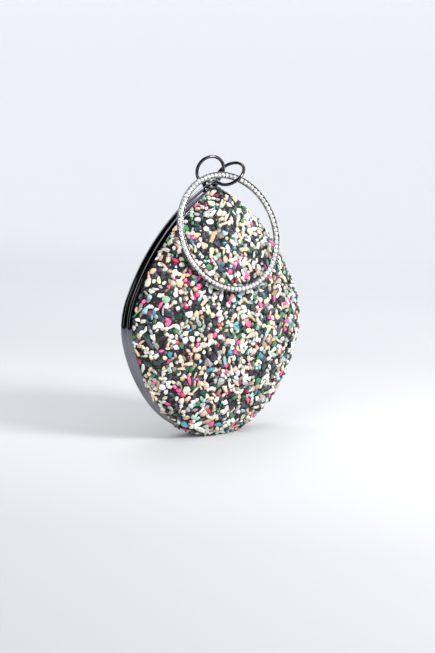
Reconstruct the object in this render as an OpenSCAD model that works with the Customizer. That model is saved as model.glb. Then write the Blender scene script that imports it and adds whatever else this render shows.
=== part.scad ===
// Teardrop evening bag: a metal frame clutch with two domed, chip-covered halves, a kiss lock and a ring handle.
// The front half carries the handle chain. The back half turns on the hinge at the bottom.
// The bag stands on the floor, z = 0. Y = 0 is the middle of its depth, and the front faces -Y.

/* [Outline of the frame] */
// Radius of the rounded bottom
bottom_r = 68; // [64:1:72]
// Radius of the lower flanks
flank_r = 104; // [98:1:110]
// Radius of the hips, the widest part
hip_r = 50; // [46:1:54]
// Radius of the long upper sides
side_r = 158; // [150:1:170]
// Radius of the tip
tip_r = 12; // [11:0.5:14]
// Height of the outline's lowest point above the floor
foot_gap = 2.2; // [2:0.1:2.6]

/* [Frame bands] */
// Depth of each half band, from the seam to its outer edge
band_w = 6.25; // [6:0.05:6.6]
// How far the rounded band stands out of the outline
crown = 1.3; // [1:0.1:1.4]
// Radius of the band's rounded face
crown_r = 3.6; // [3.5:0.1:3.8]
// Thickness of the band inside the outline
wall = 1.3; // [1.2:0.1:1.5]
// Half of the gap between the two closed halves
seam_gap = 0.15; // [0.15:0.05:0.3]

/* [Domed faces] */
// Rise of the front's chip layer above the edge of the band
front_rise = 27; // [24:0.5:28]
// Exponent of the front's rounded profile
front_p = 2.2; // [2:0.1:2.4]
// How far the front's chips stand outside the outline
front_over = 0.8; // [0.5:0.1:1.2]
// How much further they stand out at the bottom, where the bag rests on them
front_foot = 2.95; // [2.9:0.05:3.1]
// Rise of the back's chip layer, which is flatter towards its edge
back_rise = 22; // [18:0.5:24]
// How steeply the back falls away to its edge
back_fall = 0.75; // [0.65:0.05:0.85]
// How far the back's chips stand outside the outline
back_over = -0.6; // [-0.7:0.1:0]
// How much further they stand out at the bottom
back_foot = 5.65; // [5.6:0.05:6]

/* [Kiss lock] */
// Radius of each ball
ball_r = 2.8; // [2.4:0.1:2.8]
// Distance of each ball from the middle, sideways
ball_x = 2.9; // [2.9:0.1:3.2]
// Height of the balls' centres
ball_z = 177.6; // [177.4:0.1:178.5]

/* [Handle] */
// Radius of the wire of the two jump rings
wire_r = 1.15; // [1:0.05:1.15]
// Radius of a jump ring, to the middle of its wire
ring_r = 10.15; // [10:0.05:10.3]
// Outer radius of the ring handle
hoop_r = 42.5; // [42:0.1:42.6]
// Width of the handle's band, along its radius
hoop_w = 4.2; // [4.2:0.1:4.6]
// Thickness of the handle's band
hoop_t = 2.2; // [2:0.1:2.6]
// Number of rhinestones round the handle
stone_count = 80; // [70:1:82]
// Radius of each rhinestone
stone_r = 1.5; // [1.3:0.05:1.5]

/* [Hinge] */
// Radius of the hinge knuckles
knuckle_r = 1.5; // [1.4:0.05:1.5]
// Radius of the hinge pin
pin_r = 0.8; // [0.7:0.05:0.9]
// Half length of the hinge
hinge_half = 14.6; // [12:0.2:15]
// Half length of the middle knuckle
middle_half = 5; // [4:0.5:6]

/* [Hidden] */
$fn = 96;

// The outline is a chain of arcs, each tangent to the next, and the left side mirrors the right.
// Each arc holds its centre's x and z, its radius, its first and last angle, and its number of facets.
bottom_end = -40;
flank_end = -14;
hip_end = 24;
bottom_c = [0, bottom_r + foot_gap];
flank_c = bottom_c + (bottom_r - flank_r) * [cos(bottom_end), sin(bottom_end)];
hip_c = flank_c + (flank_r - hip_r) * [cos(flank_end), sin(flank_end)];
side_c = hip_c + (hip_r - side_r) * [cos(hip_end), sin(hip_end)];
side_end = acos(-side_c[0] / (side_r - tip_r));
tip_c = side_c + (side_r - tip_r) * [cos(side_end), sin(side_end)];
ARCS = [
    [bottom_c[0], bottom_c[1], bottom_r, -90, bottom_end, 5],
    [flank_c[0], flank_c[1], flank_r, bottom_end, flank_end, 3],
    [hip_c[0], hip_c[1], hip_r, flank_end, hip_end, 4],
    [side_c[0], side_c[1], side_r, hip_end, side_end, 5],
    [0, tip_c[1], tip_r, side_end, 90, 3]
];
mid_z = hip_c[1] + 2;

// Columns of the domed surfaces: up the right side and down the left, with the side as the last value.
COLUMNS = concat(
    [for (a = ARCS) for (i = [0 : a[5] - 1]) [a[0], a[1], a[2], a[3] + (a[4] - a[3]) * i / a[5], 1]],
    [for (j = [len(ARCS) - 1 : -1 : 0]) let (a = ARCS[j]) for (i = [a[5] : -1 : 1])
        [a[0], a[1], a[2], a[3] + (a[4] - a[3]) * i / a[5], -1]]
);
// Rows of the domed surfaces, from the rim (1) towards the middle (0)
ROWS = [1, 0.996, 0.985, 0.965, 0.92, 0.84, 0.68, 0.45, 0.22];

// Each half's dome: the rise of its chips, the two exponents of its profile, how far its chips stand
// outside the outline, how much further at the bottom, and how quickly that fades up the sides
FRONT = [front_rise, front_p, 1 / front_p, front_over, front_foot, 2];
BACK = [back_rise, 2, back_fall, back_over, back_foot, 6];

// Surfaces under the chips: distance inside the outline, and how far below the chips' rise
backing_in = [wall, 2.4];
shell_in = [wall + 0.5, 2.9];
lining_in = [wall + 1.9, 4.5];
cavity_in = [wall + 2.5, 5.2];

// How much thinner every second arc of a band is, and the angle by which it runs into its neighbours
step = 0.15;
lap = 1;

// The lip inside each band, which the domed shell butts against
lip_y = 1.4;
lip_end = 3;

// The seam's distance behind the middle of the bag's depth: the front is deeper than the back
seam_y = 4.87;

// Hinge
hinge_z = foot_gap;
knuckle_gap = 0.2;
knuckle_room = 0.4;
leaf_top = 1.6;
leaf_t = 0.8;
leaf_w = 6;
rivet_r = 0.9;
rivet_x = 10;
rivet_y = 4.1;
rivet_top = 3.6;
countersink_r = 1.5;

// Kiss lock: each ball leans a little over the seam, towards the other half
ball_y = 0.7;
stem_r = 1.1;
stem_y = 3;
stem_foot_z = 173.4;
collar_r = 1.9;

// Handle chain: the lug's eye, and the pose of each ring as its centre, its turn about Z and its tilt back
lug_pos = [-8.2, -3.4, 177.2];
lug_turn = -14;
eye_r = 3;
eye_hole_r = 1.75;
eye_t = 1.9;
lug_post_r = 1.3;
lug_foot_z = 170.4;
lower_tilt = -17.5;
lower_roll = -14;
upper_pos = [3.85, -16.15, 184.35];
upper_turn = -75;
upper_tilt = 43;
hoop_pos = [-3.9, -24.3, 144.9];
hoop_turn = -4;
hoop_tilt = 17;

// Channel of the handle and the stones in it
channel_depth = 1;
channel_w = 3.3;
hoop_edge_r = 0.4;
girdle_h = 0.5;
stone_h = 1.25;
table_r = 0.85;

metal = "#3a3b40";
dark_metal = "#2b2c30";

// Puts the seam plane in its place in the bag's own frame
module place() {
    translate([0, seam_y, 0]) children();
}

// Turns what is drawn for the front half into its twin on the back half
module to_back() {
    mirror([0, 1, 0]) children();
}

// Section of a half band: x is the distance outside the outline, y the depth in front of the seam.
// It has a rounded face and an inner lip, and can be drawn a little thinner all round.
module band_section(thin) {
    intersection() {
        translate([crown - crown_r, band_w / 2 + seam_gap / 2]) circle(crown_r - thin);
        translate([thin - wall, seam_gap + thin]) square([wall + crown_r, band_w - seam_gap - 2 * thin]);
    }
    translate([thin - cavity_in[0], lip_y + thin])
        square([cavity_in[0] - wall + 0.4, lip_end - lip_y - 2 * thin]);
}

// The band all round the outline. Every second arc is a little thinner and runs a little way into its
// neighbours, so that they fuse into one solid.
module band() {
    for (k = [0 : len(ARCS) - 1]) {
        a = ARCS[k];
        odd = k % 2;
        for (side = [0, 1])
            mirror([side, 0, 0])
                translate([a[0], 0, a[1]])
                    rotate([90, 0, 0])
                        rotate_extrude(start = a[3] - odd * lap, angle = a[4] - a[3] + 2 * odd * lap)
                            translate([a[2], 0]) band_section(odd * step);
    }
}

// A countersunk rivet standing in the band, with its head flush with the leaf
module rivet(x) {
    translate([x, -rivet_y, leaf_top - leaf_t]) {
        cylinder(r = rivet_r, h = rivet_top - leaf_top + leaf_t);
        cylinder(r1 = countersink_r, r2 = rivet_r, h = 0.5);
    }
}

module rivets() {
    for (x = [-rivet_x, rivet_x]) rivet(x);
}

module along_hinge(x0, x1, r) {
    translate([x0, 0, hinge_z]) rotate([0, 90, 0]) cylinder(r = r, h = x1 - x0);
}

// Stem of the kiss lock, from the band to the ball; the ball sits sideways by x
module clasp_stem(x, r) {
    rise = ball_z - stem_foot_z;
    lean = stem_y - ball_y;
    translate([x, -stem_y, stem_foot_z])
        rotate([-atan(lean / rise), 0, 0])
            cylinder(r = r, h = norm([rise, lean]));
}

module clasp(x) {
    translate([x, -ball_y, ball_z]) sphere(ball_r);
    clasp_stem(x, stem_r);
}

// A half band with its seats for the hinge, the rivets and the clasp
module half_frame(clasp_x) {
    difference() {
        band();
        translate([-hinge_half - 0.2, -leaf_w - 0.4, -1]) cube([2 * hinge_half + 0.4, leaf_w + 2, leaf_top + 1]);
        along_hinge(-hinge_half - 0.6, hinge_half + 0.6, knuckle_r + knuckle_room);
        rivets();
        clasp_stem(clasp_x, stem_r);
    }
}

// One hinge leaf: a plate under the band and its own knuckles, cleared round the other leaf's knuckles
module hinge_leaf(own, other) {
    difference() {
        union() {
            translate([-hinge_half, -leaf_w, leaf_top - leaf_t]) cube([2 * hinge_half, leaf_w, leaf_t]);
            for (span = own) along_hinge(span[0], span[1], knuckle_r);
        }
        for (span = other)
            along_hinge(span[0] - knuckle_gap, span[1] + knuckle_gap, knuckle_r + knuckle_room);
        rivets();
    }
}

// How far a half's chips stand outside the outline where its normal has this angle
function over(half, angle) = half[3] + half[4] * pow(max(0, -sin(angle)), half[5]);

// A point of a column at a distance outside the outline, as x and z
function edge(c, off) = [c[4] * (c[0] + (c[2] + off) * cos(c[3])), c[1] + (c[2] + off) * sin(c[3])];

// A point of a half's dome over column c: the outline shrinks by s towards the middle while the face rises
function dome_point(half, c, off, drop, s) =
    let (e = edge(c, off), rise = half[0] - drop)
    [s * e[0], -band_w - rise * pow(1 - pow(s, half[1]), half[2]), max(0, mid_z + s * (e[1] - mid_z))];

// All rows of a domed surface. With a skirt it starts at that depth in front of the seam, inside the band.
// The chips' own outer surface has no distance inside the outline.
function dome_rows(half, off, drop, skirt) = [
    for (s = skirt > 0 ? concat([-1], ROWS) : ROWS)
        [for (c = COLUMNS)
            let (o = is_undef(off) ? over(half, c[3]) : -off, p = dome_point(half, c, o, drop, abs(s)))
            s < 0 ? [p[0], -skirt, p[2]] : p]
];

// A layer of a half between an outer and an inner domed surface
module layer(half, outer_in, inner_in, skirt) {
    outer = dome_rows(half, outer_in[0], outer_in[1], skirt);
    inner = dome_rows(half, inner_in[0], inner_in[1], skirt);
    rows = len(outer);
    n = len(COLUMNS);
    base = rows * n;
    middles = [for (d = [outer_in[1], inner_in[1]]) [0, -band_w - half[0] + d, mid_z]];
    points = concat([for (r = outer) each r], [for (r = inner) each r], middles);
    faces = concat(
        [for (r = [0 : rows - 2]) for (k = [0 : n - 1]) let (a = r * n + k, b = r * n + (k + 1) % n)
            each [[a, a + n, b + n], [a, b + n, b]]],
        [for (r = [0 : rows - 2]) for (k = [0 : n - 1]) let (a = base + r * n + k, b = base + r * n + (k + 1) % n)
            each [[a, b + n, a + n], [a, b, b + n]]],
        [for (k = [0 : n - 1]) let (a = k, b = (k + 1) % n) each [[a, b, base + b], [a, base + b, base + a]]],
        [for (k = [0 : n - 1]) let (a = base - n + k, b = base - n + (k + 1) % n) [a, 2 * base, b]],
        [for (k = [0 : n - 1]) let (a = 2 * base - n + k, b = 2 * base - n + (k + 1) % n) [a, b, 2 * base + 1]]
    );
    polyhedron(points = points, faces = faces);
}

module chips(half) {
    layer(half, [undef, 0], backing_in, 0);
}

module backing(half) {
    layer(half, backing_in, shell_in, lip_end);
}

module shell(half) {
    layer(half, shell_in, lining_in, lip_end);
}

module lining(half) {
    layer(half, lining_in, cavity_in, lip_end);
}

// Stands a ring that lies in the XY plane up to face the front, tilts its top back and turns it about Z
module stand(pos, turn, tilt) {
    translate(pos) rotate([90 - tilt, 0, turn]) children();
}

module jump_ring() {
    rotate_extrude() translate([ring_r, 0]) circle(wire_r);
}

module front_frame() {
    color(metal) place() difference() {
        half_frame(ball_x);
        translate([lug_pos[0], lug_pos[1], lug_foot_z]) cylinder(r = lug_post_r, h = 6);
    }
}

module back_frame() {
    color(metal) place() to_back() half_frame(-ball_x);
}

module front_shell() {
    color("#55504a") place() shell(FRONT);
}

module back_shell() {
    color("#55504a") place() to_back() shell(BACK);
}

module front_backing() {
    color("#201a20") place() backing(FRONT);
}

module back_backing() {
    color("#201a20") place() to_back() backing(BACK);
}

module front_chips() {
    color("#c9bfae") place() chips(FRONT);
}

module back_chips() {
    color("#c9bfae") place() to_back() chips(BACK);
}

module front_lining() {
    color("#3b3540") place() lining(FRONT);
}

module back_lining() {
    color("#3b3540") place() to_back() lining(BACK);
}

module front_clasp() {
    color(dark_metal) place() clasp(ball_x);
}

module back_clasp() {
    color(dark_metal) place() to_back() clasp(-ball_x);
}

module front_hinge_leaf() {
    middle = [[-middle_half, middle_half]];
    outer = [[-hinge_half, -middle_half - knuckle_gap], [middle_half + knuckle_gap, hinge_half]];
    color(metal) place() difference() {
        hinge_leaf(outer, middle);
        along_hinge(-hinge_half - 1, hinge_half + 1, pin_r);
    }
}

module back_hinge_leaf() {
    middle = [[-middle_half, middle_half]];
    outer = [[-hinge_half - 1, -middle_half - knuckle_gap], [middle_half + knuckle_gap, hinge_half + 1]];
    color(metal) place() to_back() difference() {
        hinge_leaf(middle, outer);
        along_hinge(-middle_half - 1, middle_half + 1, pin_r + 0.05);
    }
}

module hinge_pin() {
    color("#8d8f94") place() along_hinge(-hinge_half, hinge_half, pin_r);
}

module front_hinge_rivets() {
    color(dark_metal) place() rivets();
}

module back_hinge_rivets() {
    color(dark_metal) place() to_back() rivets();
}

// An eye on a short post that is set into the band
module handle_lug() {
    color(dark_metal) place() translate(lug_pos) rotate([0, 0, lug_turn]) {
        difference() {
            rotate([0, 90, 0]) cylinder(r = eye_r, h = eye_t, center = true);
            rotate([0, 90, 0]) cylinder(r = eye_hole_r, h = eye_t + 1, center = true);
        }
        difference() {
            translate([0, 0, lug_foot_z - lug_pos[2]]) cylinder(r = lug_post_r, h = lug_pos[2] - lug_foot_z - 2);
            rotate([0, 90, 0]) cylinder(r = eye_hole_r, h = 6, center = true);
        }
    }
}

// The lower ring's wire passes through the lug's eye, a little way round from the ring's lowest point
module lower_ring() {
    color(dark_metal) place() translate(lug_pos)
        rotate([90 - lower_tilt, 0, lug_turn])
            translate([-ring_r * sin(lower_roll), ring_r * cos(lower_roll), 0])
                jump_ring();
}

module upper_ring() {
    color(dark_metal) place() stand(upper_pos, upper_turn, upper_tilt) jump_ring();
}

// Section of the handle: a bar with rounded edges and a channel for the stones in its front face
module hoop_section() {
    difference() {
        translate([hoop_r - hoop_w / 2, 0]) {
            square([hoop_w - 2 * hoop_edge_r, hoop_t], center = true);
            square([hoop_w, hoop_t - 2 * hoop_edge_r], center = true);
            for (x = [-1, 1]) for (y = [-1, 1])
                translate([x * (hoop_w / 2 - hoop_edge_r), y * (hoop_t / 2 - hoop_edge_r)]) circle(hoop_edge_r);
        }
        translate([hoop_r - hoop_w / 2 - channel_w / 2, hoop_t / 2 - channel_depth])
            square([channel_w, channel_depth + 1]);
    }
}

module hoop_band() {
    color("#b9bbbf") place() stand(hoop_pos, hoop_turn, hoop_tilt)
        rotate_extrude() hoop_section();
}

module hoop_rhinestones() {
    color("#e8ecf2") place() stand(hoop_pos, hoop_turn, hoop_tilt)
        for (i = [0 : stone_count - 1])
            rotate([0, 0, i * 360 / stone_count])
                translate([hoop_r - hoop_w / 2, 0, hoop_t / 2 - channel_depth]) {
                    cylinder(r = stone_r, h = girdle_h, $fn = 24);
                    translate([0, 0, girdle_h])
                        cylinder(r1 = stone_r, r2 = table_r, h = stone_h - girdle_h, $fn = 24);
                }
}

front_frame();
back_frame();
front_shell();
back_shell();
front_backing();
back_backing();
front_chips();
back_chips();
front_lining();
back_lining();
front_clasp();
back_clasp();
front_hinge_leaf();
back_hinge_leaf();
hinge_pin();
front_hinge_rivets();
back_hinge_rivets();
handle_lug();
lower_ring();
upper_ring();
hoop_band();
hoop_rhinestones();
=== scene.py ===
"""Teardrop evening bag: a polished dark metal frame, two domed faces covered with stone and shell chips,
a kiss lock, two jump rings and a ring handle set with rhinestones. Lengths are in millimetres, in the shared
frame, and become metres where a mesh is made; those of the camera, lights and flags are in metres."""
import math
from typing import NamedTuple

import bpy
import numpy as np
from mathutils import Matrix, Vector, kdtree


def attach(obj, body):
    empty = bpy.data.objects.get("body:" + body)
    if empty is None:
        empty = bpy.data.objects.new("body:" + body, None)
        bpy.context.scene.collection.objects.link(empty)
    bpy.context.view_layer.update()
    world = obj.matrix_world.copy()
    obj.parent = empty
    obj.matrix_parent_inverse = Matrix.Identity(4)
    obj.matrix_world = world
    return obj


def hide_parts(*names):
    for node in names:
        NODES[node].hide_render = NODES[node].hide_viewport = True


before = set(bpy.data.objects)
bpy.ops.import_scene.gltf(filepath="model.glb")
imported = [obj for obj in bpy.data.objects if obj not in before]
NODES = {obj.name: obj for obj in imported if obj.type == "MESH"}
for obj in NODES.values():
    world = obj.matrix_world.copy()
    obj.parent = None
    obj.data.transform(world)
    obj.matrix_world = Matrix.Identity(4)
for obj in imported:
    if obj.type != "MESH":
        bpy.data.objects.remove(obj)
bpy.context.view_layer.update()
MM = 0.001
HAIR = 0.02            # the least clearance kept between pieces, and above the floor
SEAM_Y = 4.87          # the seam between the two halves, measured from the middle of the depth
TAU = 2 * math.pi
HALVES = (("front", False), ("back", True))

# ---------------------------------------------------------------- camera
CAMERA_AZIMUTH, CAMERA_ELEVATION, CAMERA_DISTANCE = -40.0, 7.3, 1.0
CAMERA_SENSOR, CAMERA_LENS = 24.0, 77.8
CAMERA_SHIFT = (0.0147, -0.036)
CAMERA_TARGET = Vector((0.0, SEAM_Y * MM, 0.0872))


def bearing(azimuth, elevation):
    """The direction out from the bag, with the front at azimuth 0: sin a cos e, -cos a cos e, sin e."""
    a, e = math.radians(azimuth), math.radians(elevation)
    return Vector((math.sin(a) * math.cos(e), -math.cos(a) * math.cos(e), math.sin(e)))


def new_object(name, data):
    """An object in the scene at the origin, round a mesh, a light or a camera."""
    obj = bpy.data.objects.new(name, data)
    bpy.context.scene.collection.objects.link(obj)
    return obj


def camera():
    """A long lens at the eye's height, looking at the middle of the bag from its front left."""
    data = bpy.data.cameras.new("camera")
    data.sensor_fit = "HORIZONTAL"
    data.sensor_width = CAMERA_SENSOR
    data.lens = CAMERA_LENS
    data.shift_x, data.shift_y = CAMERA_SHIFT
    data.clip_start = 0.05
    data.clip_end = 50.0
    data.dof.use_dof = False
    away = bearing(CAMERA_AZIMUTH, CAMERA_ELEVATION)
    obj = new_object("camera", data)
    obj.location = CAMERA_TARGET + away * CAMERA_DISTANCE
    obj.rotation_euler = away.to_track_quat("Z", "Y").to_euler()
    bpy.context.scene.camera = obj


camera()

# ---------------------------------------------------------------- the frame's outline
# Arcs tangent to each other, from the bottom to the tip: centre x, centre z, radius, first and last
# angle.
BOTTOM_R, FLANK_R, HIP_R, SIDE_R, TIP_R = 68.0, 104.0, 50.0, 158.0, 12.0
BOTTOM_END, FLANK_END, HIP_END = (math.radians(d) for d in (-40, -14, 24))
FOOT_GAP = 2.2         # height of the outline's lowest point, where the hinge's pin runs


def arc_chain():
    """Each arc's centre lies on the line through the last centre and the point they share, so that they
    join smoothly."""
    def next_centre(c, r0, r1, t):
        return (c[0] + (r0 - r1) * math.cos(t), c[1] + (r0 - r1) * math.sin(t))
    bottom = (0.0, BOTTOM_R + FOOT_GAP)
    flank = next_centre(bottom, BOTTOM_R, FLANK_R, BOTTOM_END)
    hip = next_centre(flank, FLANK_R, HIP_R, FLANK_END)
    side = next_centre(hip, HIP_R, SIDE_R, HIP_END)
    side_end = math.acos(-side[0] / (SIDE_R - TIP_R))
    tip = next_centre(side, SIDE_R, TIP_R, side_end)
    return [
        (*bottom, BOTTOM_R, -math.pi / 2, BOTTOM_END), (*flank, FLANK_R, BOTTOM_END, FLANK_END),
        (*hip, HIP_R, FLANK_END, HIP_END), (*side, SIDE_R, HIP_END, side_end),
        (0.0, tip[1], TIP_R, side_end, math.pi / 2),
    ]


ARCS = arc_chain()
HIP_Z, TIP_Z = ARCS[2][1], ARCS[4][1]
MID_Z = HIP_Z + 2.0              # the middle of the domes, just above the centre of the hips
BAND_W = 6.25                    # width of one half's band, out from the seam
SEAM_GAP, WALL = 0.15, 1.3       # between a band and the seam, and the band's thickness
CROWN, CROWN_R = 1.3, 3.6        # how far the band's face stands out, and the radius it curves with


class Dome(NamedTuple):
    """One half's domed face: its rise, its profile's two exponents, how far the chips stand out past
    the outline, how much further they stand out at the foot, how quickly that fades up the sides, and
    how far inside the chips' edge the spots lie that they stand on."""
    rise: float
    p: float
    q: float
    over: float
    foot: float
    fade: float
    inset: float


DOMES = {
    False: Dome(27.0, 2.2, 1 / 2.2, 0.8, 2.95, 2, 1.5),
    True: Dome(22.0, 2.0, 0.75, -0.6, 5.65, 6, 1.0),
}


def stations(step):
    """Columns round the outline about a step apart: centre x, centre z, radius, angle and side."""
    right = []
    for cx, cz, r, t0, t1 in ARCS:
        n = max(3, int(round(abs(t1 - t0) * r / step)))
        t = t0 + (t1 - t0) * np.arange(n) / n
        right.append(np.column_stack([np.tile((cx, cz, r), (n, 1)), t, np.ones(n)]))
    right = np.vstack(right)
    top = np.array([[0.0, TIP_Z, TIP_R, math.pi / 2, 1.0]])
    left = right[1:][::-1].copy()
    left[:, 4] = -1
    return np.vstack([right, top, left])


def edge_xz(cols, off):
    """The outline's points moved outward by off: centre plus radius and off along the normal."""
    x = cols[:, 4] * (cols[:, 0] + (cols[:, 2] + off) * np.cos(cols[:, 3]))
    z = cols[:, 1] + (cols[:, 2] + off) * np.sin(cols[:, 3])
    return x, z


def chip_over(shape, cols):
    """How far the chips stand out past the outline in each column: more where the bag rests on them."""
    return shape.over + shape.foot * np.maximum(0, -np.sin(cols[:, 3])) ** shape.fade


def dome(shape, cols, off, drop, s):
    """The domed face: the outline moved out by off shrinks by s about the middle, while the depth is the
    band's width plus the rise, less the drop, times (1 - s^p)^q. It never goes through the floor."""
    x, z = edge_xz(cols, off)
    s = np.asarray(s, float)[:, None]
    depth = BAND_W + (shape.rise - drop) * (1 - np.clip(s, 0, 1) ** shape.p) ** shape.q
    z = np.maximum(HAIR, MID_Z + s * (z - MID_Z))
    return np.stack([s * x, -np.broadcast_to(depth, (s.shape[0], len(cols))), z], axis=2)


def dome_rows(shape, n):
    """Values from 1 at the rim to near 0 in the middle, close together where the dome turns sharply."""
    a = np.linspace(0, math.pi / 2, n + 1)[:-1]
    return np.cos(a) ** (2 / shape.p)


# ---------------------------------------------------------------- meshes
def build(name, verts, quads=None, tris=None, smooth=True, uv=None, tint=None):
    """A mesh object at the origin from arrays in millimetres. Its faces are turned outward by the sign
    of the volume they enclose."""
    verts = np.asarray(verts, float).reshape(-1, 3)
    parts = [f for f in (quads, tris) if f is not None and len(f)]
    volume = 0.0
    for f in parts:
        for k in range(1, f.shape[1] - 1):
            a, b, c = verts[f[:, 0]], verts[f[:, k]], verts[f[:, k + 1]]
            volume += np.einsum("ij,ij->i", a, np.cross(b, c)).sum()
    if volume < 0:
        parts = [f[:, ::-1] for f in parts]
    loops = np.concatenate([f.ravel() for f in parts]).astype(np.int32)
    sizes = np.concatenate([np.full(len(f), f.shape[1]) for f in parts])
    starts = np.concatenate([[0], np.cumsum(sizes)[:-1]]).astype(np.int32)
    mesh = bpy.data.meshes.new(name)
    mesh.vertices.add(len(verts))
    mesh.vertices.foreach_set("co", (verts * MM).astype(np.float32).ravel())
    mesh.loops.add(len(loops))
    mesh.loops.foreach_set("vertex_index", loops)
    mesh.polygons.add(len(sizes))
    mesh.polygons.foreach_set("loop_start", starts)
    mesh.polygons.foreach_set("use_smooth", np.broadcast_to(smooth, len(sizes)).astype(bool))
    if uv is not None:
        uv_map = mesh.uv_layers.new(name="UVMap")
        uv_map.data.foreach_set("uv", np.asarray(uv, np.float32)[loops].ravel())
    if tint is not None:
        tints = mesh.attributes.new("chip_tint", "FLOAT_COLOR", "POINT")
        tints.data.foreach_set("color", np.asarray(tint, np.float32).ravel())
    mesh.update(calc_edges=True)
    mesh.validate()
    return new_object(name, mesh)


def grid_faces(rows, cols, wrap_rows, wrap_cols):
    """Quads between neighbouring points of a grid of rows and columns, closed round either way if
    asked."""
    r = np.arange(rows if wrap_rows else rows - 1)[:, None]
    c = np.arange(cols if wrap_cols else cols - 1)[None, :]
    r1, c1 = (r + 1) % rows, (c + 1) % cols
    corners = [r * cols + c, r * cols + c1, r1 * cols + c1, r1 * cols + c]
    return np.stack(corners, axis=2).reshape(-1, 4)


def poled(name, grid, first, last, uv=None, uv_poles=None):
    """A grid closed round its columns, with one point beyond its first row and one beyond its last."""
    rows, cols = grid.shape[:2]
    verts = np.vstack([grid.reshape(-1, 3), first, last])
    n = rows * cols
    c = np.arange(cols)
    c1 = (c + 1) % cols
    tris = np.vstack([
        np.column_stack([np.full(cols, n), c1, c]),
        np.column_stack([np.full(cols, n + 1), n - cols + c, n - cols + c1]),
    ])
    if uv is not None:
        uv = np.vstack([uv.reshape(-1, 2), uv_poles])
    return build(name, verts, grid_faces(rows, cols, False, True), tris, uv=uv)


def to_seam(points, back=False):
    """Moves what is laid out about the seam into the shared frame; the back half is the front half
    mirrored."""
    p = np.array(points, float)
    if back:
        p[..., 1] *= -1
    p[..., 1] += SEAM_Y
    return p


def fillet(corners, radii, n=4):
    """A closed outline with each corner replaced by an arc tangent to both of its sides."""
    corners = np.asarray(corners, float)
    out = []
    for k, (p, r) in enumerate(zip(corners, radii)):
        a = corners[k - 1] - p
        b = corners[(k + 1) % len(corners)] - p
        la, lb = np.linalg.norm(a), np.linalg.norm(b)
        a, b = a / la, b / lb
        angle = math.acos(np.clip(a @ b, -1, 1))
        if r <= 0 or angle > math.pi - 0.02:
            out.append(p[None])
            continue
        reach = min(r / math.tan(angle / 2), 0.49 * la, 0.49 * lb)
        r = reach * math.tan(angle / 2)
        mid = (a + b) / np.linalg.norm(a + b)
        centre = p + mid * r / math.sin(angle / 2)
        u = p + a * reach - centre
        v = p + b * reach - centre
        turn = math.acos(np.clip(u @ v / (r * r), -1, 1))
        w = np.linspace(0, 1, n)[:, None]
        arc = np.sin((1 - w) * turn) * u + np.sin(w * turn) * v
        out.append(centre + arc / max(math.sin(turn), 1e-9))
    return np.vstack(out)


def lathe(profile, n):
    """A profile of radius and height turned about Z: x = r cos a, y = r sin a, z = h."""
    profile = np.asarray(profile, float)
    a = np.arange(n) * TAU / n
    r, h = profile[:, :1], profile[:, 1:]
    return np.stack([r * np.cos(a), r * np.sin(a), np.broadcast_to(h, (len(profile), n))], axis=2)


def turned(points, matrix):
    """Points carried by a 4 by 4 matrix."""
    m = np.array(matrix)
    return np.asarray(points) @ m[:3, :3].T + m[:3, 3]


def aim(base, tip):
    """The placement that takes the Z axis from base towards tip."""
    d = Vector(tip) - Vector(base)
    return Matrix.Translation(Vector(base)) @ d.to_track_quat("Z", "Y").to_matrix().to_4x4()


def stand(pos, turn, tilt):
    """The placement that stands a ring of the XY plane up to face the front, tilts it back and turns
    it about Z."""
    return (Matrix.Translation(Vector(pos)) @ Matrix.Rotation(math.radians(turn), 4, "Z")
            @ Matrix.Rotation(math.radians(90 - tilt), 4, "X"))


# ---------------------------------------------------------------- materials
def srgb(r, g, b):
    """Linear colour from 0 to 255 display values."""
    c = np.array([r, g, b], float) / 255
    lin = np.where(c <= 0.04045, c / 12.92, ((c + 0.055) / 1.055) ** 2.4)
    return (*[float(v) for v in lin], 1.0)


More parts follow.
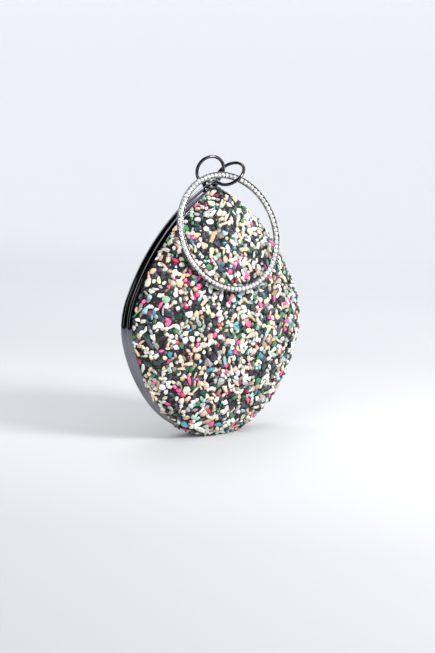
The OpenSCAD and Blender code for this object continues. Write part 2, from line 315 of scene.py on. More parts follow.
class Finish:
    """A node material, with short calls that add a node, join sockets and reach the shader."""

    def __init__(self, name):
        self.mat = bpy.data.materials.new(name)
        self.mat.use_nodes = True
        self.tree = self.mat.node_tree
        self.shader = self.tree.nodes["Principled BSDF"]
        self.coords = self.add("ShaderNodeTexCoord")

    def add(self, kind, **values):
        node = self.tree.nodes.new(kind)
        for key, value in values.items():
            setattr(node, key, value)
        return node

    def join(self, a, b):
        self.tree.links.new(a, b)

    def set(self, **values):
        for key, value in values.items():
            self.shader.inputs[key.replace("_", " ")].default_value = value

    def noise(self, scale, detail=3.0, rough=0.5, vector=None):
        node = self.add("ShaderNodeTexNoise")
        node.inputs["Scale"].default_value = scale
        node.inputs["Detail"].default_value = detail
        node.inputs["Roughness"].default_value = rough
        self.join(vector or self.coords.outputs["Object"], node.inputs["Vector"])
        return node.outputs["Fac"]

    def streaks(self, stretch, scale, detail):
        """Noise drawn out into fine lines by scaling each axis of its coordinates."""
        node = self.add("ShaderNodeMapping")
        node.inputs["Scale"].default_value = stretch
        self.join(self.coords.outputs["Object"], node.inputs["Vector"])
        return self.noise(scale, detail, vector=node.outputs["Vector"])

    def ramp(self, fac, stops):
        """A colour read off between stops, each a place from 0 to 1 and a colour."""
        node = self.add("ShaderNodeValToRGB")
        els = node.color_ramp.elements
        while len(els) < len(stops):
            els.new(0.5)
        for el, (pos, col) in zip(els, stops):
            el.position = pos
            el.color = col if len(col) == 4 else (*col, 1.0)
        self.join(fac, node.inputs["Fac"])
        return node.outputs["Color"]

    def span(self, fac, low, high):
        """A 0 to 1 value stretched to run from low to high."""
        node = self.add("ShaderNodeMapRange")
        node.inputs["To Min"].default_value = low
        node.inputs["To Max"].default_value = high
        self.join(fac, node.inputs["Value"])
        return node.outputs["Result"]

    def colour(self, output):
        self.join(output, self.shader.inputs["Base Color"])

    def roughness(self, output):
        self.join(output, self.shader.inputs["Roughness"])

    def bump(self, height, strength, distance):
        node = self.add("ShaderNodeBump")
        node.inputs["Strength"].default_value = strength
        node.inputs["Distance"].default_value = distance
        self.join(height, node.inputs["Height"])
        self.join(node.outputs["Normal"], self.shader.inputs["Normal"])


GLOSS_BEST, GLOSS_WORST = 0.75, 1.75       # how wiping varies the roughness of a polished piece


def polished_metal(name, dark, light, rough):
    """Mirror-polished plating: a slow drift between two tones, cloudy wipe marks in the gloss and
    hairlines."""
    f = Finish(name)
    f.set(Metallic=1.0)
    f.colour(f.ramp(f.noise(45.0, 4.0), [(0.3, dark), (0.7, light)]))
    f.roughness(f.span(f.noise(160.0, 5.0, 0.6), rough * GLOSS_BEST, rough * GLOSS_WORST))
    f.bump(f.streaks((1.0, 14.0, 1.0), 900.0, 2.0), 0.03, 0.00005)
    return f.mat


def brushed_metal(name, dark, light):
    """Rolled hinge steel: fine lines along X in the tone and the gloss."""
    f = Finish(name)
    f.set(Metallic=1.0)
    lines = f.streaks((0.04, 1.0, 1.0), 3500.0, 3.0)
    f.colour(f.ramp(lines, [(0.3, dark), (0.7, light)]))
    f.roughness(f.span(lines, 0.24, 0.46))
    f.bump(lines, 0.15, 0.00005)
    return f.mat


def chip_finish(name):
    """Tumbled stone and shell: each chip's own tint, clouded and veined, under a wet gloss."""
    f = Finish(name)
    f.set(IOR=1.55, Coat_Weight=0.35, Coat_Roughness=0.06)
    tint = f.add("ShaderNodeAttribute")
    tint.attribute_name = "chip_tint"
    mottle = f.noise(900.0, 5.0, 0.65)
    shade = f.add("ShaderNodeMix", data_type="RGBA", blend_type="MULTIPLY")
    shade.inputs["Factor"].default_value = 0.75
    f.join(tint.outputs["Color"], shade.inputs["A"])
    clouds = f.ramp(mottle, [(0.25, (0.5, 0.48, 0.47)), (0.55, (1, 1, 1)), (0.8, (1, 1, 1))])
    f.join(clouds, shade.inputs["B"])
    vein = f.noise(420.0, 6.0, 0.75)
    veins = f.add("ShaderNodeMix", data_type="RGBA", blend_type="MIX")
    f.join(f.ramp(vein, [(0.6, (0, 0, 0)), (0.72, (0.35, 0.35, 0.35))]), veins.inputs["Factor"])
    f.join(shade.outputs["Result"], veins.inputs["A"])
    veins.inputs["B"].default_value = srgb(236, 232, 222)
    f.colour(veins.outputs["Result"])
    f.roughness(f.span(mottle, 0.16, 0.42))
    f.bump(f.noise(1500.0, 3.0), 0.12, 0.0002)
    return f.mat


def glitter_cloth(name):
    """Black cloth under the chips, with a glitter speck in a few of its small cells."""
    magenta, gold = srgb(120, 24, 84), srgb(130, 104, 56)
    f = Finish(name)
    cells = f.add("ShaderNodeTexVoronoi")
    cells.inputs["Scale"].default_value = 1400.0
    f.join(f.coords.outputs["Object"], cells.inputs["Vector"])
    parts = f.add("ShaderNodeSeparateColor")
    f.join(cells.outputs["Color"], parts.inputs["Color"])
    hue = f.ramp(parts.outputs["Green"], [(0.0, magenta), (0.62, magenta), (0.63, gold), (1.0, gold)])
    pick = f.ramp(parts.outputs["Red"], [(0.93, (0, 0, 0)), (0.95, (1, 1, 1))])
    mix = f.add("ShaderNodeMix", data_type="RGBA")
    f.join(pick, mix.inputs["Factor"])
    mix.inputs["A"].default_value = srgb(15, 15, 18)
    f.join(hue, mix.inputs["B"])
    f.colour(mix.outputs["Result"])
    f.roughness(f.span(pick, 0.75, 0.3))
    f.bump(cells.outputs["Distance"], 0.5, 0.0003)
    return f.mat


def satin_lining(name):
    """Lining satin: fine floats that cross on the unrolled cloth, a soft sheen and slight creasing."""
    f = Finish(name)
    f.set(Sheen_Weight=0.5, Sheen_Roughness=0.35)
    warp = f.add("ShaderNodeTexWave", wave_type="BANDS", bands_direction="X")
    weft = f.add("ShaderNodeTexWave", wave_type="BANDS", bands_direction="Y")
    for wave, scale in ((warp, 900.0), (weft, 420.0)):
        wave.inputs["Scale"].default_value = scale
        wave.inputs["Distortion"].default_value = 0.6
        f.join(f.coords.outputs["UV"], wave.inputs["Vector"])
    both = f.add("ShaderNodeMath", operation="MULTIPLY")
    f.join(warp.outputs["Fac"], both.inputs[0])
    f.join(weft.outputs["Fac"], both.inputs[1])
    f.colour(f.ramp(both.outputs[0], [(0.0, srgb(34, 30, 38)), (1.0, srgb(74, 68, 80))]))
    f.roughness(f.span(f.noise(60.0, 4.0), 0.34, 0.55))
    f.bump(both.outputs[0], 0.35, 0.0001)
    return f.mat


def fibre_board(name):
    """Pressed board: short pale fibres in a brown ground."""
    brown, tan, pale = srgb(84, 70, 56), srgb(120, 104, 84), srgb(158, 142, 118)
    f = Finish(name)
    fibre = f.noise(1100.0, 8.0, 0.75)
    f.colour(f.ramp(fibre, [(0.3, brown), (0.6, tan), (0.8, pale)]))
    f.set(Roughness=0.85)
    f.bump(fibre, 0.4, 0.0002)
    return f.mat


def crystal(name):
    """Foil-backed glass stones: a silvered body whose flat facets throw the studio back, under a clear
    coat."""
    f = Finish(name)
    f.set(Metallic=0.35, Coat_Weight=1.0, Coat_Roughness=0.02)
    sparkle = f.noise(700.0, 2.0)
    f.colour(f.ramp(sparkle, [(0.25, srgb(168, 168, 168)), (0.6, srgb(246, 245, 241))]))
    f.roughness(f.span(sparkle, 0.06, 0.2))
    return f.mat


FRAME_METAL = polished_metal("frame_black_nickel", srgb(112, 112, 118), srgb(134, 134, 140), 0.07)
RING_METAL = polished_metal("ring_black_nickel", srgb(84, 83, 87), srgb(106, 105, 109), 0.06)
HOOP_METAL = polished_metal("hoop_nickel", srgb(128, 127, 130), srgb(158, 157, 160), 0.1)
HINGE_STEEL = brushed_metal("hinge_steel", srgb(120, 121, 126), srgb(164, 165, 170))
CHIPS = chip_finish("stone_and_shell_chips")
CLOTH = glitter_cloth("chip_bed_cloth")
LINING = satin_lining("satin_lining")
BOARD = fibre_board("pressed_board")
CRYSTAL = crystal("rhinestone_crystal")


def place(obj, body, material, node):
    """Gives a finished piece its material and its body, and hides the CAD node it stands for."""
    obj.data.materials.append(material)
    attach(obj, body)
    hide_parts(node)


# ---------------------------------------------------------------- frame bands
HINGE_HALF, LEAF_PLAY = 14.6, 0.3            # half the hinge leaf's length, and the room at its ends
LEAF_TOP = 1.6
KNUCKLE_ROOM_R = 1.9
LIP_OUT, LIP_IN, LIP_REACH = 3.0, 1.4, 3.8   # the inner lip's two depths, and how far in it reaches
EDGE_ROUND = 0.22
BAND_STEP = 1.3


def band_profile():
    """Section as outward distance and depth: a crowned face between two edges, and the inner lip."""
    depth = np.linspace(SEAM_GAP, BAND_W, 29)
    mid = BAND_W / 2 + SEAM_GAP / 2
    crown = CROWN - CROWN_R + np.sqrt(CROWN_R ** 2 - (depth - mid) ** 2)
    arc = np.column_stack([crown, depth])
    inner = np.array([[-WALL, BAND_W], [-WALL, LIP_OUT], [-LIP_REACH, LIP_OUT],
                      [-LIP_REACH, LIP_IN], [-WALL, LIP_IN], [-WALL, SEAM_GAP]])
    corners = np.vstack([arc, inner])
    radii = np.zeros(len(corners))
    radii[[0, len(arc) - 1]] = EDGE_ROUND
    radii[len(arc):] = [0.2, 0.15, 0.25, 0.25, 0.15, 0.2]
    return fillet(corners, radii)


def band(name, back):
    """The section carried round the outline, with a flat for the hinge leaf and a groove round its
    knuckles: what is nearer the pin than the groove's radius is moved out to it."""
    cols = stations(BAND_STEP)
    prof = band_profile()
    out, depth = prof[None, :, 0], prof[None, :, 1]
    cx, cz, r, t, side = cols.T[..., None]
    x = side * (cx + (r + out) * np.cos(t))
    z = cz + (r + out) * np.sin(t)
    y = np.broadcast_to(-depth, x.shape)
    near = np.abs(x) < HINGE_HALF + LEAF_PLAY
    z = np.where(near, np.maximum(z, LEAF_TOP), z)
    dist = np.hypot(y, z - FOOT_GAP)
    scale = np.where(near, np.maximum(dist, KNUCKLE_ROOM_R) / dist, 1.0)
    y, z = y * scale, FOOT_GAP + (z - FOOT_GAP) * scale
    pts = to_seam(np.stack([x, y, z], axis=2), back)
    return build(name, pts, grid_faces(len(cols), len(prof), True, True))


for half, back in HALVES:
    place(band(half + "_frame_band", back), half + "_half", FRAME_METAL,
          half + "_frame")


# ---------------------------------------------------------------- domed layers
HEM_IN = 3.02          # depth to which the board and the lining run down, just clear of the lip
LEAST_WALL = 0.3       # least thickness of a layer whose outside follows the chips
FIRST_TURN = 3         # how far from a pole the UV puts the first row round it


def layer(name, back, outer, inner, skirt, rows=30, step=3.2):
    """A closed layer between two domes. Each is given as its distance outside the outline, its drop
    below the chips, and whether that distance is from the chips' edge instead. The layer's edge runs
    down inside the band to the skirt's depth. The UV unrolls the cloth outward from the middle."""
    shape = DOMES[back]
    cols = stations(step)
    s = dome_rows(shape, rows)
    shells = []
    for off, drop, under_chips in (outer, inner):
        if under_chips:
            off = np.maximum(chip_over(shape, cols) + off, inner[0] + LEAST_WALL)
        g = dome(shape, cols, off, drop, s)
        hem = g[:1].copy()
        hem[..., 1] = -skirt
        shells.append(np.concatenate([hem, g]))
    out, inn = shells
    grid = np.concatenate([inn[::-1], out])
    steps = np.linalg.norm(np.diff(grid, axis=0), axis=2)
    run = np.concatenate([np.zeros((1, len(cols))), np.cumsum(steps, axis=0)])
    run = np.minimum(run, run[-1] - run) + FIRST_TURN
    ex, ez = edge_xz(cols, 0.0)
    around = np.arctan2(ez - MID_Z, ex)
    uv = np.stack([run * np.cos(around), run * np.sin(around)], axis=2) * MM
    apex = [[0, -BAND_W - shape.rise + drop, MID_Z] for drop in (inner[1], outer[1])]
    return poled(name, to_seam(grid, back), *to_seam(apex, back), uv, np.zeros((2, 2)))


for half, back in HALVES:
    body = half + "_half"
    place(layer(half + "_chip_bed", back, (-1.7, 2.1, True), (-1.8, 2.9, False), BAND_W - HAIR),
          body, CLOTH, half + "_backing")
    place(layer(half + "_case_board", back, (-1.82, 2.92, False), (-3.2, 4.5, False), HEM_IN),
          body, BOARD, half + "_shell")
    place(layer(half + "_satin_lining", back, (-3.22, 4.52, False), (-3.8, 5.2, False), HEM_IN, 44, 2.2),
          body, LINING, half + "_lining")


# ---------------------------------------------------------------- chips
# Display colours of the chips, with how common each is.
CHIP_COLOURS = [
    ((238, 232, 216), 15), ((248, 247, 244), 12), ((226, 224, 192), 7), ((238, 204, 172), 8),
    ((216, 190, 166), 6), ((176, 178, 174), 7), ((144, 138, 124), 4), ((62, 72, 84), 12),
    ((30, 34, 40), 11), ((30, 66, 46), 7), ((58, 132, 82), 3.5), ((160, 200, 172), 2.5),
    ((156, 208, 216), 3.5), ((62, 152, 168), 2), ((238, 96, 156), 3.5), ((214, 54, 92), 1.5),
    ((150, 50, 84), 1), ((186, 154, 124), 3),
]
CHIP_REACHES = [(3.5, 350), (2.5, 1500), (1.5, 6000)]     # room for a chip, and how many at most
CHIP_SEEDS = {False: 11, True: 23}
SPOTS_TRIED = 60000
SPOT_DROP = 1.7          # how far below the domed face the chips' spots lie, on the bed
CHIP_SIDES = 6
CHIP_FLATS = 3           # flats ground off each chip
CHIP_ROOT = 0.6          # how deep the chips are rooted in their bed, below the spots they stand on
CHIP_SHOW, CHIP_LIFT = 0.3, 1.35     # how far the lowest chips stand out, and how much more the highest
CHIP_TIP, CHIP_ROLL = 17, 22         # how many degrees the chips lean, as standard deviations
CALM_LEAST, CALM_DEPTH = 0.3, 6      # share of that at the back's rim, and where it is all reached
SLIVER_SHARE, FLAT_SHARE = 0.2, 0.7  # long thin chips, and chips with hard edges


def scatter(rng, shape, reach):
    """Spots on the domed face at least a reach apart, the widest first: (point, normal, along, reach).
    Cells of a fine grid are drawn by their area, and each spot kept strikes out its neighbours."""
    cols = stations(1.4)
    over = chip_over(shape, cols) - shape.inset
    g = dome(shape, cols, over, SPOT_DROP, dome_rows(shape, 150))
    du = np.roll(g, -1, axis=1) - g
    dv = np.diff(g, axis=0)
    n = np.cross(du[:-1], dv)
    area = np.linalg.norm(n, axis=2)
    n = n / np.maximum(area, 1e-9)[..., None]
    n[n[..., 1] > 0] *= -1
    cell = rng.choice(area.size, SPOTS_TRIED, p=(area / area.sum()).ravel())
    r, c = cell // len(cols), cell % len(cols)
    a, b = rng.random((2, SPOTS_TRIED))
    p = g[r, c] + a[:, None] * du[r, c] + b[:, None] * dv[r, c]
    tree = kdtree.KDTree(SPOTS_TRIED)
    for i, q in enumerate(p):
        tree.insert(q, i)
    tree.balance()
    alive = np.ones(SPOTS_TRIED, bool)
    kept, reaches = [], []
    order = iter(range(SPOTS_TRIED))
    for want, limit in reach:
        taken = 0
        for i in order:
            if not alive[i]:
                continue
            own = want * (0.88 + 0.24 * rng.random())
            for _, j, _ in tree.find_range(p[i], own):
                alive[j] = False
            kept.append(i)
            reaches.append(own)
            taken += 1
            if taken >= limit:
                break
    kept = np.array(kept)
    along = du[r[kept], c[kept]]
    along /= np.linalg.norm(along, axis=1)[:, None]
    return p[kept], n[r[kept], c[kept]], along, np.array(reaches)


def chip_template():
    """A rough pebble of two rings and two poles: directions on the unit sphere and triangles."""
    lat = np.radians([-30, 30])
    a = (np.arange(CHIP_SIDES)[None, :] + 0.5 * np.arange(2)[:, None]) * TAU / CHIP_SIDES
    ring = np.stack([np.cos(lat)[:, None] * np.cos(a), np.cos(lat)[:, None] * np.sin(a),
                     np.broadcast_to(np.sin(lat)[:, None], a.shape)], axis=2).reshape(-1, 3)
    verts = np.vstack([ring, [0, 0, -1], [0, 0, 1]])
    c = np.arange(CHIP_SIDES)
    c1 = (c + 1) % CHIP_SIDES
    up, up1 = CHIP_SIDES + c, CHIP_SIDES + c1
    low, high = np.full(CHIP_SIDES, 2 * CHIP_SIDES), np.full(CHIP_SIDES, 2 * CHIP_SIDES + 1)
    return verts, np.vstack([np.column_stack(corners) for corners in (
        (low, c1, c), (high, up, up1), (c, c1, up), (up, c1, up1))])


def pebbles(rng, dirs, reach):
    """Chips in their own axes, long, wide and high. Each direction is pushed out at random, and then a
    few flats are ground off: a point beyond a cutting plane is moved back onto it."""
    m = len(reach)
    v = dirs[None] * (1 + 0.2 * rng.standard_normal((m, len(dirs), 1)).clip(-2, 1.5))
    for _ in range(CHIP_FLATS):
        cut = rng.standard_normal((m, 3))
        cut /= np.linalg.norm(cut, axis=1)[:, None]
        depth = rng.uniform(0.45, 0.85, m)
        over = np.maximum(0, np.einsum("mvk,mk->mv", v, cut) - depth[:, None])
        v = v - over[..., None] * cut[:, None]
    sliver = rng.random(m) < SLIVER_SHARE
    long = np.where(sliver, rng.uniform(1.1, 1.6, m), rng.uniform(0.82, 1.1, m))
    wide = np.where(sliver, rng.uniform(0.42, 0.62, m), rng.uniform(0.68, 0.95, m))
    size = np.stack([long, wide, wide], axis=1) * reach[:, None]
    size[:, 2] = np.clip(0.8 * size[:, 2], 0.8, 1.6)
    return v * size[:, None], size[:, 2]


def leant(a, b, angle):
    """Two axes at right angles turned in their own plane: a cos t + b sin t, and b cos t - a sin t."""
    cos, sin = np.cos(angle)[:, None], np.sin(angle)[:, None]
    return a * cos + b * sin, b * cos - a * sin


def chip_tints(rng, m):
    """One colour for each chip: one of the common ones, with its own lightness and cast."""
    weights = np.array([w for _, w in CHIP_COLOURS], float)
    kind = rng.choice(len(CHIP_COLOURS), m, p=weights / weights.sum())
    base = np.array([srgb(*c)[:3] for c, _ in CHIP_COLOURS])[kind]
    return np.clip(base * rng.uniform(0.78, 1.1, (m, 1)) * rng.uniform(0.95, 1.05, (m, 3)), 0, 1)


def chip_mosaic(name, back):
    """Thousands of broken chips, each turned about the face's normal and tipped. They lie calmer near
    the rim of the back, so that none stands past the band, and none goes deeper than its root."""
    rng = np.random.default_rng(CHIP_SEEDS[back])
    p, n, along, reach = scatter(rng, DOMES[back], CHIP_REACHES)
    m = len(p)
    dirs, tris = chip_template()
    v, height = pebbles(rng, dirs, reach)
    x, _ = leant(along, np.cross(n, along), rng.uniform(0, TAU, m))
    calm = np.clip((-p[:, 1] - BAND_W) / CALM_DEPTH, CALM_LEAST, 1) if back else np.ones(m)
    z, x = leant(n, x, calm * np.radians(rng.normal(0, CHIP_TIP, m)))
    y, z = leant(np.cross(z, x), z, calm * np.radians(rng.normal(0, CHIP_ROLL, m)))
    lift = CHIP_SHOW - height + calm * rng.uniform(0.0, CHIP_LIFT, m)
    at = p + n * lift[:, None]
    world = at[:, None] + v[..., :1] * x[:, None] + v[..., 1:2] * y[:, None] + v[..., 2:] * z[:, None]
    sunk = np.maximum(0, -CHIP_ROOT - np.einsum("mvk,mk->mv", world - p[:, None], n))
    world = world + sunk[..., None] * n[:, None]
    world[..., 1] = np.minimum(world[..., 1], -BAND_W - HAIR)
    world[..., 2] = np.maximum(world[..., 2], HAIR)
    tint = np.ones((m, len(dirs), 4))
    tint[..., :3] = chip_tints(rng, m)[:, None]
    offset = (np.arange(m) * len(dirs))[:, None, None]
    flat = rng.random(m) < FLAT_SHARE
    return build(name, to_seam(world, back), None, (tris[None] + offset).reshape(-1, 3),
                 np.repeat(~flat, len(tris)), tint=tint.reshape(-1, 4))


for half, back in HALVES:
    place(chip_mosaic(half + "_chip_mosaic", back), half + "_half", CHIPS,
          half + "_chips")


# ---------------------------------------------------------------- kiss lock
BALL_R, BALL_X, BALL_Z, BALL_Y = 2.8, 2.9, 177.6, 0.7
STEM_Y, STEM_FOOT_Z = 3.0, 173.4
NECK_R = 1.05
# Radius and height of the stem, from inside the band up past its collar to the waist below the ball.
CLASP_STEM = [[1.1, -2.2], [1.1, -1.2], [2.0, -1.15], [2.15, -0.9], [2.05, -0.6], [1.5, -0.3],
              [1.15, 0.2], [1.0, 0.9]]


def clasp(name, back):
    """A ball on a waisted stem with a collar where it meets the band, turned about the stem's own
    axis."""
    side = -1 if back else 1
    base = Vector((side * BALL_X, -STEM_Y, STEM_FOOT_Z))
    top = Vector((side * BALL_X, -BALL_Y, BALL_Z))
    reach = (top - base).length
    polar = np.linspace(math.pi - math.asin(NECK_R / BALL_R), 0.0, 26)[:-1]
    ball = np.column_stack([BALL_R * np.sin(polar), reach + BALL_R * np.cos(polar)])
    prof = np.vstack([CLASP_STEM, ball])
    grid = turned(lathe(prof, 56), aim(base, top))
    ends = turned([[0, 0, prof[0, 1]], [0, 0, reach + BALL_R]], aim(base, top))
    return poled(name, to_seam(grid, back), *to_seam(ends, back))


for half, back in HALVES:
    place(clasp(half + "_clasp_ball", back), half + "_half", RING_METAL,
          half + "_clasp")


# ---------------------------------------------------------------- handle chain
LUG_POS = Vector((-8.2, -3.4, 177.2))
LUG_TURN = -14.0
WIRE_R, RING_R = 1.15, 10.15
# Sections as radius and height: the eye about its hole's axis, and the post from inside the band.
LUG_EYE = [[1.75, -0.95], [3.0, -0.95], [3.0, 0.95], [1.75, 0.95]]
LUG_EYE_ROUND = [0.45, 0.35, 0.35, 0.45]
LUG_POST = [[1.3, -6.8], [1.3, -5.2], [2.1, -5.1], [2.2, -4.8], [1.7, -4.3], [1.2, -3.6],
            [1.05, -2.9], [0.9, -2.2]]


def lug():
    """A flat eye with softened edges, as a closed section turned about the hole's axis, on a flared
    post."""
    at = Matrix.Translation(LUG_POS)
    to_hole = (at @ Matrix.Rotation(math.radians(LUG_TURN), 4, "Z")
               @ Matrix.Rotation(math.pi / 2, 4, "Y"))
    ring = turned(lathe(fillet(LUG_EYE, LUG_EYE_ROUND, 6), 56), to_hole)
    stem = turned(lathe(LUG_POST, 40), at)
    caps = turned([[0, 0, LUG_POST[0][1]], [0, 0, LUG_POST[-1][1]]], at)
    n = ring.shape[0] * ring.shape[1]
    rows, cols = stem.shape[:2]
    c = np.arange(cols)
    c1 = (c + 1) % cols
    top = n + (rows - 1) * cols
    verts = np.vstack([ring.reshape(-1, 3), stem.reshape(-1, 3), caps])
    last = len(verts)
    tris = np.vstack([np.column_stack([np.full(cols, last - 2), n + c1, n + c]),
                      np.column_stack([np.full(cols, last - 1), top + c, top + c1])])
    ring_faces = grid_faces(ring.shape[0], ring.shape[1], True, True)
    stem_faces = grid_faces(rows, cols, False, True) + n
    return build("handle_lug_eye", to_seam(verts), np.vstack([ring_faces, stem_faces]), tris)


place(lug(), "front_half", RING_METAL, "handle_lug")

BUTT_STATIONS = np.radians([-0.9, -0.45, 0.45, 0.9])     # extra ones that bound the groove
BUTT_HALF, BUTT_DEPTH = math.radians(0.6), 0.16


def jump_ring(name, matrix, butt):
    """Round wire bent into a ring: a torus whose wire narrows at the butt joint between its two ends."""
    a = np.sort(np.concatenate([np.linspace(0, TAU, 121)[:-1], butt + BUTT_STATIONS]))
    gap = np.abs((a - butt + math.pi) % TAU - math.pi)
    wire = np.where(gap < BUTT_HALF, WIRE_R - BUTT_DEPTH, WIRE_R)[:, None]
    b = np.arange(28) * TAU / 28
    r = RING_R + wire * np.cos(b)
    pts = np.stack([r * np.cos(a)[:, None], r * np.sin(a)[:, None], wire * np.sin(b)], axis=2)
    return build(name, to_seam(turned(pts, matrix)), grid_faces(len(a), len(b), True, True))


LOWER_ROLL = math.radians(-14)
LOWER = (stand(LUG_POS, LUG_TURN, -17.5)
         @ Matrix.Translation((-RING_R * math.sin(LOWER_ROLL), RING_R * math.cos(LOWER_ROLL), 0)))
UPPER = stand((3.85, -16.15, 184.35), -75, 43)
HOOP = stand((-3.9, -24.3, 144.9), -4, 17)
for level, matrix, butt in (("lower", LOWER, 200), ("upper", UPPER, 75)):
    place(jump_ring(level + "_jump_ring", matrix, math.radians(butt)), level + "_ring", RING_METAL,
          level + "_ring")

HOOP_R, HOOP_W, HOOP_T = 42.5, 4.2, 2.2
HOOP_SEGMENTS = 240
CHANNEL_W, CHANNEL_FLOOR = 3.5, HOOP_T / 2 - 1.0
STONE_COUNT, STONE_SIDES, STONE_R = 80, 8, 1.54
STONE_LINE = HOOP_R - HOOP_W / 2             # radius of the circle the stones' middles lie on
TABLE_R, TABLE_Z, GIRDLE_Z = 0.8, 1.25, 0.5


def hoop():
    """The handle's bar, its section turned about the hoop's axis: rounded edges and a channel for the
    stones."""
    w, t, c, f = HOOP_W / 2, HOOP_T / 2, CHANNEL_W / 2, CHANNEL_FLOOR
    section = [[-w, -t], [w, -t], [w, t], [c, t], [c, f], [-c, f], [-c, t], [-w, t]]
    radii = [0.4, 0.4, 0.2, 0.1, 0.1, 0.1, 0.1, 0.2]
    prof = fillet(section, radii, 5) + [STONE_LINE, 0]
    return build("hoop_channel_bar", to_seam(turned(lathe(prof, HOOP_SEGMENTS), HOOP)),
                 grid_faces(len(prof), HOOP_SEGMENTS, True, True))


def stone_template():
    """One cut stone: a table over a girdle turned by half a side, and a straight foot, in triangles."""
    n = STONE_SIDES
    a = np.arange(n) * TAU / n
    b = a + TAU / 2 / n
    table = np.column_stack([TABLE_R * np.cos(a), TABLE_R * np.sin(a), np.full(n, TABLE_Z)])
    girdle = np.column_stack([STONE_R * np.cos(b), STONE_R * np.sin(b), np.full(n, GIRDLE_Z)])
    foot = girdle * [1, 1, 0] + [0, 0, HAIR]
    verts = np.vstack([table, girdle, foot, [[0, 0, TABLE_Z], [0, 0, HAIR]]])
    c = np.arange(n)
    c1 = (c + 1) % n
    top, bottom = np.full(n, 3 * n), np.full(n, 3 * n + 1)
    return verts, np.vstack([np.column_stack(corners) for corners in (
        (top, c, c1), (c, n + c, c1), (n + c, n + c1, c1), (n + c, 2 * n + c, n + c1),
        (2 * n + c, 2 * n + c1, n + c1), (bottom, 2 * n + c1, 2 * n + c))])


def stones():
    """The row of rhinestones: the stone turned by its own angle and carried round the stones' circle."""
    verts, tris = stone_template()
    turn = np.arange(STONE_COUNT) * TAU / STONE_COUNT
    spread = np.random.default_rng(5).uniform(0, TAU / STONE_SIDES, STONE_COUNT)
    own = (turn + spread)[:, None]
    x = verts[:, 0] * np.cos(own) - verts[:, 1] * np.sin(own) + STONE_LINE * np.cos(turn)[:, None]
    y = verts[:, 0] * np.sin(own) + verts[:, 1] * np.cos(own) + STONE_LINE * np.sin(turn)[:, None]
    z = np.broadcast_to(verts[:, 2] + CHANNEL_FLOOR, x.shape)
    offset = (np.arange(STONE_COUNT) * len(verts))[:, None, None]
    return build("hoop_rhinestone_row",
                 to_seam(turned(np.stack([x, y, z], axis=2).reshape(-1, 3), HOOP)),
                 None, (tris[None] + offset).reshape(-1, 3), False)


place(hoop(), "handle_hoop", HOOP_METAL, "hoop_band")
place(stones(), "handle_hoop", CRYSTAL, "hoop_rhinestones")

# ---------------------------------------------------------------- hinge, as the CAD has it
for node in ("front_hinge_leaf", "back_hinge_leaf", "hinge_pin", "front_hinge_rivets",
             "back_hinge_rivets"):
    NODES[node].data.materials.clear()
    NODES[node].data.materials.append(HINGE_STEEL)


# ---------------------------------------------------------------- studio
TOWARDS_FRONT_LEFT = (-0.911, -0.541, 0.0)
FLOOR_REACH = 1.5            # metres from the middle over which the floor's painted light and shade run
# Painted light and shade on the floor: its display tones along that way, from the back right to the front
# left, lighter to the back right and darkest a little way out to the front left.
FLOOR_LIGHT_AND_SHADE = [
    (0.0, (228, 229, 232)), (0.18, (212, 213, 216)), (0.37, (200, 201, 204)), (0.5, (207, 208, 210)),
    (0.59, (182, 183, 186)), (0.73, (160, 161, 164)), (0.87, (190, 191, 194)), (1.0, (228, 229, 232)),
]
FLAT_R, WALL_STEEP = 1400, 520.0
WALL_GLOW, GLOW_TOP = 0.36, 1.2      # the wall's glow, and the height in metres where it is full
SKY_STRENGTH = 0.81


def studio_paper():
    """Pale paper with painted light and shade, lighter at the back right and darker towards the front left,
    that also glows higher up.
    """
    f = Finish("studio_paper")
    along = f.add("ShaderNodeVectorMath", operation="DOT_PRODUCT")
    f.join(f.coords.outputs["Object"], along.inputs[0])
    along.inputs[1].default_value = TOWARDS_FRONT_LEFT
    run = f.add("ShaderNodeMapRange")
    run.inputs["From Min"].default_value = -FLOOR_REACH
    run.inputs["From Max"].default_value = FLOOR_REACH
    f.join(along.outputs["Value"], run.inputs["Value"])
    # painted light and shade: the paper's colour follows the floor's tones along the front-left way
    f.colour(f.ramp(run.outputs["Result"], [(pos, srgb(*tone)) for pos, tone in FLOOR_LIGHT_AND_SHADE]))
    axes = f.add("ShaderNodeSeparateXYZ")
    f.join(f.coords.outputs["Object"], axes.inputs["Vector"])
    glow = f.add("ShaderNodeMapRange")
    glow.inputs["From Max"].default_value = GLOW_TOP
    glow.inputs["To Max"].default_value = WALL_GLOW
    f.join(axes.outputs["Z"], glow.inputs["Value"])
    f.join(glow.outputs["Result"], f.shader.inputs["Emission Strength"])
    f.set(Roughness=0.9, Specular_IOR_Level=0.1, Emission_Color=srgb(244, 245, 249))
    return f.mat


def studio_floor():
    """A round pale floor that curves up into a wall far out: past a flat radius its height grows as
    the square."""
    r = np.concatenate([[0.02], np.linspace(0.15, 1.4, 10), np.linspace(1.5, 4.2, 40)]) * 1000
    h = WALL_STEEP * np.maximum(0, (r - FLAT_R) / 1000) ** 2
    grid = lathe(np.column_stack([r, h]), 96)
    cols = grid.shape[1]
    verts = np.vstack([grid.reshape(-1, 3), [[0, 0, 0]]])
    c = np.arange(cols)
    tris = np.column_stack([np.full(cols, len(verts) - 1), (c + 1) % cols, c])
    obj = build("studio_floor", verts, grid_faces(*grid.shape[:2], False, True), tris)
    obj.data.materials.append(studio_paper())
    obj.data.flip_normals()          # the floor and wall are seen from inside


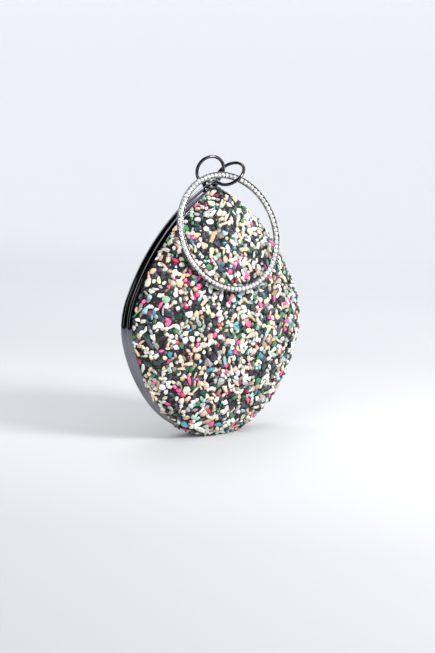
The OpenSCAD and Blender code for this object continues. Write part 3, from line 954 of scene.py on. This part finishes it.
def flag(name, azimuths, elevations, distance, strength):
    """A curved flag or reflector round the bag that only reflections see, between two azimuths and two
    elevations of its middle. It shines white with its strength."""
    az = np.radians(np.linspace(*azimuths, 25))
    low, high = (distance * math.tan(math.radians(e)) for e in elevations)
    ring = np.column_stack([distance * np.sin(az), -distance * np.cos(az)])
    verts = [(x, y + CAMERA_TARGET.y, CAMERA_TARGET.z + h) for h in (low, high) for x, y in ring]
    n = len(az)
    mesh = bpy.data.meshes.new(name)
    mesh.from_pydata(verts, [], [(k, k + 1, n + k + 1, n + k) for k in range(n - 1)])
    mat = bpy.data.materials.new(name)
    mat.use_nodes = True
    tree = mat.node_tree
    tree.nodes.remove(tree.nodes["Principled BSDF"])
    glow = tree.nodes.new("ShaderNodeEmission")
    glow.inputs["Strength"].default_value = strength
    tree.links.new(glow.outputs[0], tree.nodes["Material Output"].inputs["Surface"])
    mesh.materials.append(mat)
    obj = new_object(name, mesh)
    obj.visible_camera = False
    obj.visible_diffuse = False
    obj.visible_shadow = False
    obj.visible_transmission = False


def soft_light(name, azimuth, elevation, distance, size, power):
    """A square softbox that faces the middle of the bag."""
    data = bpy.data.lights.new(name, "AREA")
    data.shape = "SQUARE"
    data.size = size
    data.energy = power
    away = bearing(azimuth, elevation)
    obj = new_object(name, data)
    obj.location = CAMERA_TARGET + away * distance
    obj.rotation_euler = away.to_track_quat("Z", "Y").to_euler()


studio_floor()
world = bpy.data.worlds.new("studio")
world.use_nodes = True
world.node_tree.nodes["Background"].inputs["Color"].default_value = srgb(246, 247, 250)
world.node_tree.nodes["Background"].inputs["Strength"].default_value = SKY_STRENGTH
bpy.context.scene.world = world
soft_light("key_light", 14, 30, 1.3, 0.45, 18)
soft_light("fill_light", -70, 30, 1.6, 0.9, 7.5)
soft_light("back_light", 150, 60, 1.6, 0.8, 6)
flag("dark_flag", (-152, -18), (-14, 76), 0.75, 0.0)
flag("light_strip", (-101, -97), (-4, 40), 0.7, 2.0)

bpy.context.scene.view_settings.view_transform = "Standard"
bpy.context.scene.view_settings.look = "None"
